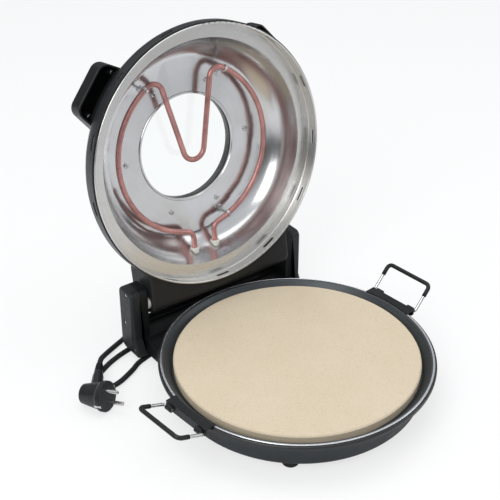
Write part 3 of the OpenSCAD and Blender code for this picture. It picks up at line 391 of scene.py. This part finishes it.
def spun(name, color, to_centre, roughness, stain=None):
    """Pressed and turned sheet metal: brush marks that run round the middle, light stains."""
    t = Tree(name)
    radius, angle, height = t.polar(t.moved(to_centre))
    marks_at = t.combine(t.math("MULTIPLY", radius, 2200), t.math("MULTIPLY", angle, 3),
                         t.math("MULTIPLY", height, 900))
    marks = t.noise(1, 3, 0.7, marks_at)
    stains = t.noise(22, 5, 0.6)
    dents = t.noise(45, 2)
    base = t.mix(t.spread(stains, 0.35, 0.75), color, stain or shade(color, 0.9))
    t.set(Base_Color=t.mix(t.between(marks, 0, 0.3), base, shade(color, 0.8)),
          Metallic=1.0,
          Roughness=t.math("ADD", t.spread(marks, 0.25, 0.75, roughness - 0.05, roughness + 0.07),
                           t.spread(stains, 0.3, 0.8, -0.02, 0.06)))
    t.bump((dents, 0.0008, 0.03), (marks, 0.00005, 0.07))
    return t.material


def bare_steel(name, color, roughness, scale=500):
    """Small steel parts: drawing marks and a little tarnish."""
    t = Tree(name)
    tarnish = t.spread(t.noise(120, 5, 0.65), 0.4, 0.8)
    gloss = t.noise(scale, 4)
    marks = t.noise(scale * 2, 3)
    t.set(Base_Color=t.mix(tarnish, color, shade(color, 0.72)),
          Metallic=1.0,
          Roughness=t.between(gloss, roughness - 0.05, roughness + 0.1))
    t.bump((marks, 0.00005, 0.15))
    return t.material


def sheath(name, rose, dark):
    """Element tube: an oxidised metal sheath, mottled where the heat has coloured it."""
    t = Tree(name)
    mottle = t.noise(70, 5, 0.6)
    fine = t.noise(700, 4, 0.6)
    color = t.mix(t.spread(mottle, 0.42, 0.72, to_high=0.75), rose, dark)
    t.set(Base_Color=t.mix(t.spread(fine, 0.45, 0.8, to_high=0.4), color, shade(rose, 1.35)),
          Metallic=0.55,
          Roughness=t.between(fine, 0.24, 0.38))
    t.bump((fine, 0.0001, 0.15))
    return t.material


def stone_surface():
    """Unglazed cordierite: warm sand colour, dark and pale grains, open pores darkened with painted
    shade.
    """
    t = Tree("stone_surface")
    patches = t.noise(16, 5, 0.6)
    grains = t.noise(520, 3, 0.6)
    specks = t.noise(950, 2, 0.5)
    pores = t.spread(t.noise(330, 4, 0.7), 0.60, 0.72, smooth=True)
    color = t.mix(patches, SAND, PALE_SAND)
    color = t.mix(t.spread(grains, 0.56, 0.68, to_high=0.5), color, PALE_GRAIN)
    color = t.mix(t.spread(specks, 0.63, 0.72, to_high=0.55), color, DARK_GRAIN)
    # The pores are darkened with a painted shade colour that stands in for shade in their hollows, which
    # the bump also sinks
    t.set(Base_Color=t.mix(t.math("MULTIPLY", pores, 0.45), color, PORE_SHADE),
          Roughness=0.88,
          Specular_IOR_Level=0.25)
    t.bump((patches, 0.0004, 0.1), (t.math("SUBTRACT", grains, pores), 0.00025, 0.5))
    return t.material


def pan_surface(to_centre):
    """The pan: dark coating inside and a bright bead at the rim, with turning marks."""
    t = Tree("pan_surface")
    radius, angle, _ = t.polar(t.moved(to_centre))
    marks_at = t.combine(t.math("MULTIPLY", radius, 2600), t.math("MULTIPLY", angle, 4), 0)
    marks = t.noise(1, 3, 0.7, marks_at)
    mottle = t.noise(50, 5, 0.6)
    bead = t.spread(radius, BEAD_FROM_R, BEAD_TO_R, smooth=True)
    coat = t.mix(mottle, COATING, PALE_COATING)
    bright = t.mix(t.between(marks, 0, 0.5), BEAD, DULL_BEAD)
    t.set(Base_Color=t.mix(bead, coat, bright),
          Metallic=t.spread(bead, 0, 1, 0.35, 1),
          Roughness=t.math("SUBTRACT", t.between(marks, 0.36, 0.46), t.math("MULTIPLY", bead, 0.18)))
    t.bump((marks, 0.00006, 0.25))
    return t.material


def window_pane():
    """Clear glass with a faint smear in its gloss."""
    t = Tree("window_pane")
    smear = t.noise(18, 4, 0.6)
    t.set(Base_Color=(0.97, 0.99, 0.98, 1), Transmission_Weight=1.0, IOR=1.45,
          Roughness=t.spread(smear, 0.5, 0.8, 0, 0.03))
    return t.material


def glazed(name, color):
    """Fired ceramic or hard moulded terminal plastic."""
    t = Tree(name)
    cloud = t.noise(160, 4)
    gloss = t.noise(400, 3)
    grain = t.noise(500, 3)
    t.set(Base_Color=t.clouded(cloud, color, 0.9, 1.05),
          Roughness=t.between(gloss, 0.22, 0.34))
    t.bump((grain, 0.0001, 0.15))
    return t.material


SLATE = (0.021, 0.026, 0.029)
BLACK = (0.009, 0.010, 0.011)
STEEL = (0.60, 0.605, 0.612)
BAND = (0.66, 0.655, 0.64)
SCENE_TO_PAN = Matrix.Translation(-SHIFT)

MATERIALS = {
    "bowl": paint("bowl_paint", SLATE, 0.42, specular=0.22),
    "ring": paint("ring_paint", BLACK, 0.33),
    "shell": paint("shell_paint", (0.013, 0.014, 0.016), 0.36),
    "window_black": paint("window_paint", (0.012, 0.012, 0.013), 0.30),
    "bracket": paint("bracket_paint", (0.011, 0.013, 0.014), 0.40, specular=0.25),
    "lid_steel": spun("lid_steel", STEEL, SCENE_TO_LID, 0.19, stain=(0.57, 0.565, 0.555)),
    "band_steel": spun("band_steel", BAND, SCENE_TO_LID, 0.27, stain=(0.62, 0.61, 0.58)),
    "trim_steel": spun("trim_steel", (0.58, 0.585, 0.59), SCENE_TO_LID, 0.18),
    "base_steel": spun("base_steel", STEEL, SCENE_TO_PAN, 0.26),
    "pan": pan_surface(SCENE_TO_PAN),
    "stone": stone_surface(),
    "sheath": sheath("element_sheath", (0.50, 0.245, 0.225), (0.22, 0.10, 0.095)),
    "clip": bare_steel("clip_steel", (0.60, 0.61, 0.62), 0.28),
    "screw": bare_steel("screw_steel", (0.62, 0.63, 0.64), 0.25),
    "dark_screw": bare_steel("dark_screw_steel", (0.16, 0.165, 0.17), 0.3),
    "pin": bare_steel("pin_steel", (0.58, 0.59, 0.60), 0.20),
    "wire": bare_steel("wire_steel", (0.66, 0.66, 0.655), 0.22, scale=300),
    "stand": moulded("stand_plastic", (0.008, 0.0085, 0.009), 0.5, specular=0.22),
    "cover": moulded("cover_plastic", (0.016, 0.018, 0.019), 0.44, specular=0.3),
    "hinge": moulded("hinge_plastic", (0.013, 0.0135, 0.014), 0.44, specular=0.25),
    "handle": moulded("handle_plastic", (0.007, 0.0073, 0.0077), 0.38, grain=0.2, specular=0.3),
    "sleeve": moulded("sleeve_plastic", (0.009, 0.0095, 0.010), 0.40, grain=0.3),
    "plug": moulded("plug_plastic", (0.012, 0.0125, 0.014), 0.36, grain=0.18),
    "plug_metal": bare_steel("plug_metal", (0.72, 0.71, 0.69), 0.2),
    "cord": rubbery("cord_jacket", (0.010, 0.010, 0.011), 0.55),
    "foot": rubbery("foot_rubber", (0.012, 0.012, 0.013)),
    "gasket": rubbery("gasket_rubber", (0.05, 0.05, 0.05)),
    "bumper": rubbery("bumper_rubber", (0.015, 0.015, 0.016)),
    "bush": moulded("bush_plastic", (0.55, 0.54, 0.50)),
    "ceramic": glazed("ceramic_bush", (0.80, 0.77, 0.70)),
    "terminal": glazed("terminal_plastic", (0.72, 0.68, 0.58)),
    "cutout": glazed("cutout_body", (0.03, 0.03, 0.032)),
    "glass": window_pane(),
}

NODE_LOOKS = {
    "bowl": ["base_shell"],
    "ring": ["base_ring"],
    "base_steel": ["base_reflector"],
    "sheath": ["lower_element", "upper_element"],
    "clip": ["lower_element_clips", "upper_element_clips"],
    "foot": ["feet"],
    "screw": ["foot_screws", "cover_screws", "reflector_screws"],
    "dark_screw": ["handle_screws"],
    "stand": ["rear_housing"],
    "cover": ["cover_left", "cover_right"],
    "pin": ["hinge_pins"],
    "terminal": ["terminal_block"],
    "cutout": ["thermal_cutout"],
    "cord": ["cord_gland", "cord_tail", "cord_coil", "cord_run"],
    "plug": ["plug_body", "plug_strain_relief"],
    "plug_metal": ["plug_pins"],
    "pan": ["pan"],
    "bracket": ["bracket_left", "bracket_right"],
    "wire": ["bail_left", "bail_right"],
    "sleeve": ["grip_left", "grip_right"],
    "stone": ["baking_stone"],
    "shell": ["lid_shell"],
    "band_steel": ["rim_band"],
    "lid_steel": ["lid_reflector"],
    "glass": ["window_glass"],
    "window_black": ["window_bezel"],
    "trim_steel": ["window_ring"],
    "gasket": ["window_gasket"],
    "ceramic": ["element_bushes"],
    "handle": ["lid_handle_left", "lid_handle_right"],
    "hinge": ["hinge_block"],
    "bush": ["hinge_bushes"],
    "bumper": ["rear_bumpers"],
}


def dress(obj, look):
    """Gives a piece its material."""
    obj.data.materials.clear()
    obj.data.materials.append(MATERIALS[look])


for look, names in NODE_LOOKS.items():
    for node_name in names:
        dress(frame["nodes"][node_name], look)
dress(cord, "cord")


# Shading of the pressed and moulded pieces, whose curves are made of narrow flat bands

SOFT_ANGLE = math.radians(27)
SOFT_NODES = [
    "base_shell", "base_ring", "base_reflector", "feet", "rear_housing", "cover_left", "cover_right",
    "plug_body", "plug_strain_relief", "pan", "bracket_left", "bracket_right", "baking_stone",
    "lid_shell", "rim_band", "lid_reflector", "window_ring", "window_bezel", "lid_handle_left",
    "lid_handle_right", "hinge_block", "rear_bumpers"]

# Vertices that agree to this many decimals of a metre lie at one place
PLACE_DECIMALS = 6
TINY = 1e-12


def read(items, name, kind, width=1):
    """One attribute of a mesh's vertices, corners or faces, a row for each."""
    values = np.zeros(len(items) * width, kind)
    items.foreach_get(name, values)
    return values.reshape(-1, width) if width > 1 else values


def soften(obj):
    """Shades each corner with the faces that meet there at a shallow angle, the larger ones more."""
    mesh = obj.data
    places = read(mesh.vertices, "co", np.float32, 3)
    vertex = read(mesh.loops, "vertex_index", np.int64)
    normals = read(mesh.polygons, "normal", np.float64, 3)
    areas = read(mesh.polygons, "area", np.float64)
    sizes = read(mesh.polygons, "loop_total", np.int64)
    face = np.repeat(np.arange(len(sizes)), sizes)
    _, place = np.unique(np.round(places, PLACE_DECIMALS), axis=0, return_inverse=True)
    corner_place = place.reshape(-1)[vertex]

    # Corners sorted by place, and each of them paired with every corner at its place
    order = np.argsort(corner_place, kind="stable")
    _, start, group, count = np.unique(corner_place[order], return_index=True, return_inverse=True,
                                       return_counts=True)
    group = group.reshape(-1)
    partners = count[group]
    first = np.cumsum(partners) - partners
    one = np.repeat(np.arange(len(order)), partners)
    other = np.arange(len(one)) - first[one] + start[group][one]

    normal = normals[face[order]]
    shallow = np.einsum("ij,ij->i", normal[one], normal[other]) > math.cos(SOFT_ANGLE)
    weight = areas[face[order]][other] * shallow
    mean = np.stack([np.bincount(one, weight * normal[other, axis], len(order)) for axis in range(3)], 1)
    length = np.linalg.norm(mean, axis=1, keepdims=True)
    shaded = np.zeros_like(mean)
    shaded[order] = np.where(length > TINY, mean / np.maximum(length, TINY), normal)
    mesh.shade_smooth()
    mesh.normals_split_custom_set(shaded)


for node_name in SOFT_NODES:
    soften(frame["nodes"][node_name])


# Building blocks for meshes

def as_object(mesh, name):
    """An object with the bmesh's faces; the bmesh is freed."""
    data = bpy.data.meshes.new(name)
    mesh.to_mesh(data)
    mesh.free()
    return in_scene(name, data)


def join_rings(mesh, rings):
    """Faces from each ring of vertices to the next. A ring of one vertex is a tip."""
    for low, high in zip(rings, rings[1:]):
        steps = max(len(low), len(high))
        for k in range(steps):
            n = (k + 1) % steps
            around = [low[k % len(low)], low[n % len(low)], high[n % len(high)], high[k % len(high)]]
            mesh.faces.new(list(dict.fromkeys(around)))


# Screws with cross recesses, each in the place of its plain solid

HEAD_STEPS = 40
DOME_STEPS = 5
SCREW_SPIN = math.radians(37)
SCREW_SHARP = math.radians(35)

# Shares of the shank's radius: the tip's radius, and how far back its chamfer goes
TIP_R = 0.7
TIP_LEN = 0.4

# Shares of the head's radius and height: its lower edge, and the dome down to its side
HEAD_EDGE_R = 0.97
HEAD_EDGE_H = 0.9
DOME_H = 0.55
FLAT_R = 0.55
ROUND_R = 0.45

# Shares of the head's radius: the cross's half width, its reach and its narrowing at the bottom
CROSS_HALF = 0.13
CROSS_REACH = 0.62
CROSS_BOTTOM = 0.45

# Shares of the head's height that the cross goes down, and of that depth that its cutter stands proud
CROSS_DEPTH = 0.8
CROSS_PROUD = 0.2

# Points of a solid further out than this share of its radius are the head's
HEAD_FROM_R = 0.9

# Points at least this far below the head, in metres, are the shank's
BELOW_HEAD = 0.0002

# Shank of a solid that is all head, as a share of the head's radius
PLAIN_SHANK_R = 0.5


def loose_parts(obj):
    """The separate solids of a node, each as a list of places."""
    places = [tuple(round(c, PLACE_DECIMALS) for c in vertex.co) for vertex in obj.data.vertices]
    owner = {place: place for place in places}

    def root(place):
        while owner[place] != place:
            owner[place] = owner[owner[place]]
            place = owner[place]
        return place

    for polygon in obj.data.polygons:
        first = root(places[polygon.vertices[0]])
        for other in polygon.vertices[1:]:
            owner[root(places[other])] = first
    parts = {}
    for place in owner:
        parts.setdefault(root(place), []).append(Vector(place))
    return [parts[key] for key in sorted(parts)]


def screw_mesh(length, shank_r, head_r, head_h):
    """A pan-head screw along +Z with its top at the origin."""
    profile = [(0, -length), (shank_r * TIP_R, -length), (shank_r, -length + shank_r * TIP_LEN),
               (shank_r, -head_h), (head_r * HEAD_EDGE_R, -head_h), (head_r, -head_h * HEAD_EDGE_H),
               (head_r, -head_h * DOME_H)]
    for i in range(1, DOME_STEPS + 1):
        turn = math.radians(90) * i / DOME_STEPS
        profile.append((head_r * (FLAT_R + ROUND_R * math.cos(turn)),
                        -head_h * DOME_H * (1 - math.sin(turn))))
    profile.append((0, 0))
    mesh = bmesh.new()
    rings = []
    for radius, height in profile:
        turns = [math.tau * k / HEAD_STEPS for k in range(HEAD_STEPS if radius else 1)]
        rings.append([mesh.verts.new((radius * math.cos(turn), radius * math.sin(turn), height))
                      for turn in turns])
    join_rings(mesh, rings)
    return mesh


def cross_cutter(head_r, depth):
    """A tapered cross, wider at its top, that stands in the screw's head."""
    half = head_r * CROSS_HALF
    reach = head_r * CROSS_REACH
    corners = []
    for quarter in range(4):
        turn = Matrix.Rotation(math.radians(90 * quarter), 2)
        corners += [turn @ Vector(at) for at in ((reach, -half), (reach, half), (half, half))]
    mesh = bmesh.new()
    low = [mesh.verts.new((c.x * CROSS_BOTTOM, c.y * CROSS_BOTTOM, -depth)) for c in corners]
    high = [mesh.verts.new((c.x, c.y, depth * CROSS_PROUD)) for c in corners]
    mesh.faces.new(list(reversed(low)))
    mesh.faces.new(high)
    join_rings(mesh, [low, high])
    return mesh


def cut_screw(length, shank_r, head_r, head_h):
    """The screw's mesh with the cross cut out of its head."""
    screw = as_object(screw_mesh(length, shank_r, head_r, head_h), "screw_blank")
    cutter = as_object(cross_cutter(head_r, head_h * CROSS_DEPTH), "screw_cutter")
    cut = screw.modifiers.new("recess", "BOOLEAN")
    cut.object = cutter
    cut.solver = "EXACT"
    done = evaluated_mesh(screw)
    bpy.data.objects.remove(screw)
    bpy.data.objects.remove(cutter)
    return done


def screw_sizes(part, middle, axis):
    """A solid's top along the axis, then its length, shank radius, head radius and head height."""
    along = [(place - middle).dot(axis) for place in part]
    out = [((place - middle) - axis * h).length for place, h in zip(part, along)]
    top = max(along)
    head_r = max(out)
    head_h = top - min(h for h, r in zip(along, out) if r > head_r * HEAD_FROM_R)
    shank = [r for h, r in zip(along, out) if h < top - head_h - BELOW_HEAD]
    return top, (top - min(along), max(shank or [head_r * PLAIN_SHANK_R]), head_r, head_h)


def add_screws(node_name, body, look, towards):
    """Detailed screws over each solid of a node; towards gives a head's direction from its middle."""
    joined = bmesh.new()
    for number, part in enumerate(loose_parts(frame["nodes"][node_name])):
        middle = sum(part, Vector()) / len(part)
        axis = towards(middle).normalized()
        top, sizes = screw_sizes(part, middle, axis)
        mesh = cut_screw(*sizes)
        lean = axis.to_track_quat("Z", "Y").to_matrix().to_4x4()
        spin = Matrix.Rotation(SCREW_SPIN * number, 4, "Z")
        mesh.transform(Matrix.Translation(middle + axis * top) @ lean @ spin)
        joined.from_mesh(mesh)
        bpy.data.meshes.remove(mesh)
    screws = as_object(joined, node_name + "_detailed")
    dress(screws, look)
    screws.data.shade_smooth()
    screws.data.set_sharp_from_angle(angle=SCREW_SHARP)
    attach(screws, body)
    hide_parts(node_name)


def outwards(middle):
    """Away from the middle of the object, to the left or the right."""
    return Vector((math.copysign(1, middle.x - SHIFT.x), 0, 0))


add_screws("cover_screws", "base", "screw", outwards)
add_screws("reflector_screws", "lid", "screw", lambda middle: -LID_UP)
add_screws("handle_screws", "lid", "dark_screw", lambda middle: -LID_UP)
add_screws("foot_screws", "base", "screw", lambda middle: Vector((0, 0, -1)))


# Bail sleeves: thin tubes over the bar and the ends of the legs, in millimetres

BAIL_LEN = 38
BAIL_HALF_W = 34
BAIL_CORNER_R = 6
RIGHT_BAIL_TILT = math.radians(47.6)
LEFT_BAIL_TILT = math.radians(22.5)
WIRE_X = 172.8
WIRE_Z = 48
PAN_TURN = math.radians(5.7)
SLEEVE_D = 5.4
SLEEVE_START = 22
SLEEVE_EDGE = 0.5
SLEEVE_EDGE_SHARE = 0.82
SLEEVE_SIDES = 20
SLEEVE_SHARP = math.radians(50)
CORNER_STEPS = 8


def sleeve_line():
    """The sleeve's line in the bail's plane, with the share of its radius at each point."""
    reach = BAIL_LEN - BAIL_CORNER_R
    half = BAIL_HALF_W - BAIL_CORNER_R
    leg = [(SLEEVE_START, BAIL_HALF_W, SLEEVE_EDGE_SHARE), (SLEEVE_START + SLEEVE_EDGE, BAIL_HALF_W, 1)]
    for i in range(CORNER_STEPS + 1):
        turn = math.radians(90) * i / CORNER_STEPS
        leg.append((reach + BAIL_CORNER_R * math.sin(turn), half + BAIL_CORNER_R * math.cos(turn), 1))
    return leg + [(x, -y, share) for x, y, share in reversed(leg)]


def add_sleeve(name, side, tilt, body, node_name):
    """One sleeve; side is 1 on the right and -1 on the left, tilt is how far the bail stands up."""
    line = [(Vector((x, y, 0)), share) for x, y, share in sleeve_line()]
    pan_turn = Matrix.Rotation(PAN_TURN, 3, "Z")
    bail_turn = Matrix.Rotation(-tilt, 3, "Y")
    mesh = bmesh.new()
    rings = []
    for i, (at, share) in enumerate(line):
        ahead = (line[min(i + 1, len(line) - 1)][0] - line[max(i - 1, 0)][0]).normalized()
        across = Vector((-ahead.y, ahead.x, 0))
        ring = []
        for k in range(SLEEVE_SIDES):
            turn = math.tau * k / SLEEVE_SIDES
            out = across * math.cos(turn) + Vector((0, 0, 1)) * math.sin(turn)
            local = bail_turn @ (at + out * share * SLEEVE_D / 2) + Vector((WIRE_X, 0, WIRE_Z))
            local.x *= side
            ring.append(mesh.verts.new(placed(pan_turn @ local)))
        rings.append(ring)
    join_rings(mesh, rings)
    mesh.faces.new(rings[0])
    mesh.faces.new(rings[-1])
    bmesh.ops.recalc_face_normals(mesh, faces=mesh.faces)
    sleeve = as_object(mesh, name)
    dress(sleeve, "sleeve")
    sleeve.data.shade_smooth()
    sleeve.data.set_sharp_from_angle(angle=SLEEVE_SHARP)
    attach(sleeve, body)
    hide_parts(node_name)


add_sleeve("sleeve_right", 1, RIGHT_BAIL_TILT, "bail_right", "grip_right")
add_sleeve("sleeve_left", -1, LEFT_BAIL_TILT, "bail_left", "grip_left")


# Stage and light

WHITE = (1, 1, 1, 1)
FLOOR_COLOR = (0.86, 0.86, 0.865, 1)
FLOOR_ROUGHNESS = 0.6
FLOOR_HALF = 40
FLOOR_DROP = 0.0004

# How much of the floor that the camera sees is plain white
FLOOR_WHITE_SHARE = 0.7

# The light from all round the object: its tint, its strength near the horizon and overhead, and the
# heights, on a sphere of radius 1, between which it grows
WORLD_COLOR = (0.94, 0.96, 1, 1)
WALL_LOW = 0.05
WALL_HIGH = 0.85
WALL_FROM = 0.02
WALL_TO = 0.75


def seen_directly(tree):
    """1 on a ray from the camera or through glass, and 0 on any other."""
    path = tree.nodes.new("ShaderNodeLightPath")
    seen = tree.nodes.new("ShaderNodeMath")
    seen.operation = "ADD"
    seen.use_clamp = True
    tree.links.new(path.outputs["Is Camera Ray"], seen.inputs[0])
    tree.links.new(path.outputs["Is Transmission Ray"], seen.inputs[1])
    return seen.outputs[0]


def mix_shaders(tree, share, first, second, output):
    """Puts the first shader, with a share of the second in it, on the output node."""
    mix = tree.nodes.new("ShaderNodeMixShader")
    for source, socket in zip((share, first, second), mix.inputs):
        tree.links.new(source, socket)
    tree.links.new(mix.outputs[0], tree.nodes[output].inputs["Surface"])


def floor_material():
    """A pale floor that keeps the object's shadow and looks nearly white to the camera."""
    material = bpy.data.materials.new("floor")
    material.use_nodes = True
    tree = material.node_tree
    shader = tree.nodes["Principled BSDF"]
    shader.inputs["Base Color"].default_value = FLOOR_COLOR
    shader.inputs["Roughness"].default_value = FLOOR_ROUGHNESS
    white = tree.nodes.new("ShaderNodeEmission")
    white.inputs["Color"].default_value = WHITE
    share = tree.nodes.new("ShaderNodeMath")
    share.operation = "MULTIPLY"
    share.inputs[1].default_value = FLOOR_WHITE_SHARE
    tree.links.new(seen_directly(tree), share.inputs[0])
    mix_shaders(tree, share.outputs[0], shader.outputs[0], white.outputs[0], "Material Output")
    return material


def add_floor():
    """The floor, a hair below the feet."""
    mesh = bpy.data.meshes.new("floor")
    corners = [(x * FLOOR_HALF, y * FLOOR_HALF, 0) for x, y in ((-1, -1), (1, -1), (1, 1), (-1, 1))]
    mesh.from_pydata(corners, [], [(0, 1, 2, 3)])
    mesh.materials.append(floor_material())
    floor = in_scene("floor", mesh)
    floor.location.z = -FLOOR_DROP


def add_world():
    """Walls that light the object from above, seen as plain white."""
    world = bpy.data.worlds.new("studio")
    bpy.context.scene.world = world
    world.use_nodes = True
    tree = world.node_tree
    walls = tree.nodes["Background"]
    walls.inputs["Color"].default_value = WORLD_COLOR
    way = tree.nodes.new("ShaderNodeTexCoord")
    parts = tree.nodes.new("ShaderNodeSeparateXYZ")
    tree.links.new(way.outputs["Generated"], parts.inputs[0])
    strength = tree.nodes.new("ShaderNodeMapRange")
    strength.interpolation_type = "SMOOTHSTEP"
    strength.inputs["From Min"].default_value = WALL_FROM
    strength.inputs["From Max"].default_value = WALL_TO
    strength.inputs["To Min"].default_value = WALL_LOW
    strength.inputs["To Max"].default_value = WALL_HIGH
    tree.links.new(parts.outputs["Z"], strength.inputs["Value"])
    tree.links.new(strength.outputs["Result"], walls.inputs["Strength"])
    white = tree.nodes.new("ShaderNodeBackground")
    white.inputs["Color"].default_value = WHITE
    mix_shaders(tree, seen_directly(tree), walls.outputs[0], white.outputs[0], "World Output")


def add_light(name, at, towards, size, power):
    """A soft rectangular lamp; size is its two sides in metres, power is in watts."""
    data = bpy.data.lights.new(name, "AREA")
    data.shape = "RECTANGLE"
    data.size, data.size_y = size
    data.energy = power
    light = in_scene(name, data)
    light.location = at
    light.rotation_euler = facing(at, towards)


add_floor()
add_world()
add_light("key", at=(-1.5, -0.7, 1.5), towards=(0, 0, 0.15), size=(1.2, 1.2), power=19)
add_light("fill", at=(1.5, -1.0, 0.9), towards=(0, 0, 0.15), size=(0.9, 1.2), power=6)
add_light("top", at=(0.1, 0.3, 2.0), towards=(0, 0, 0.1), size=(1.8, 1.2), power=12)

bpy.context.scene.view_settings.view_transform = "Standard"
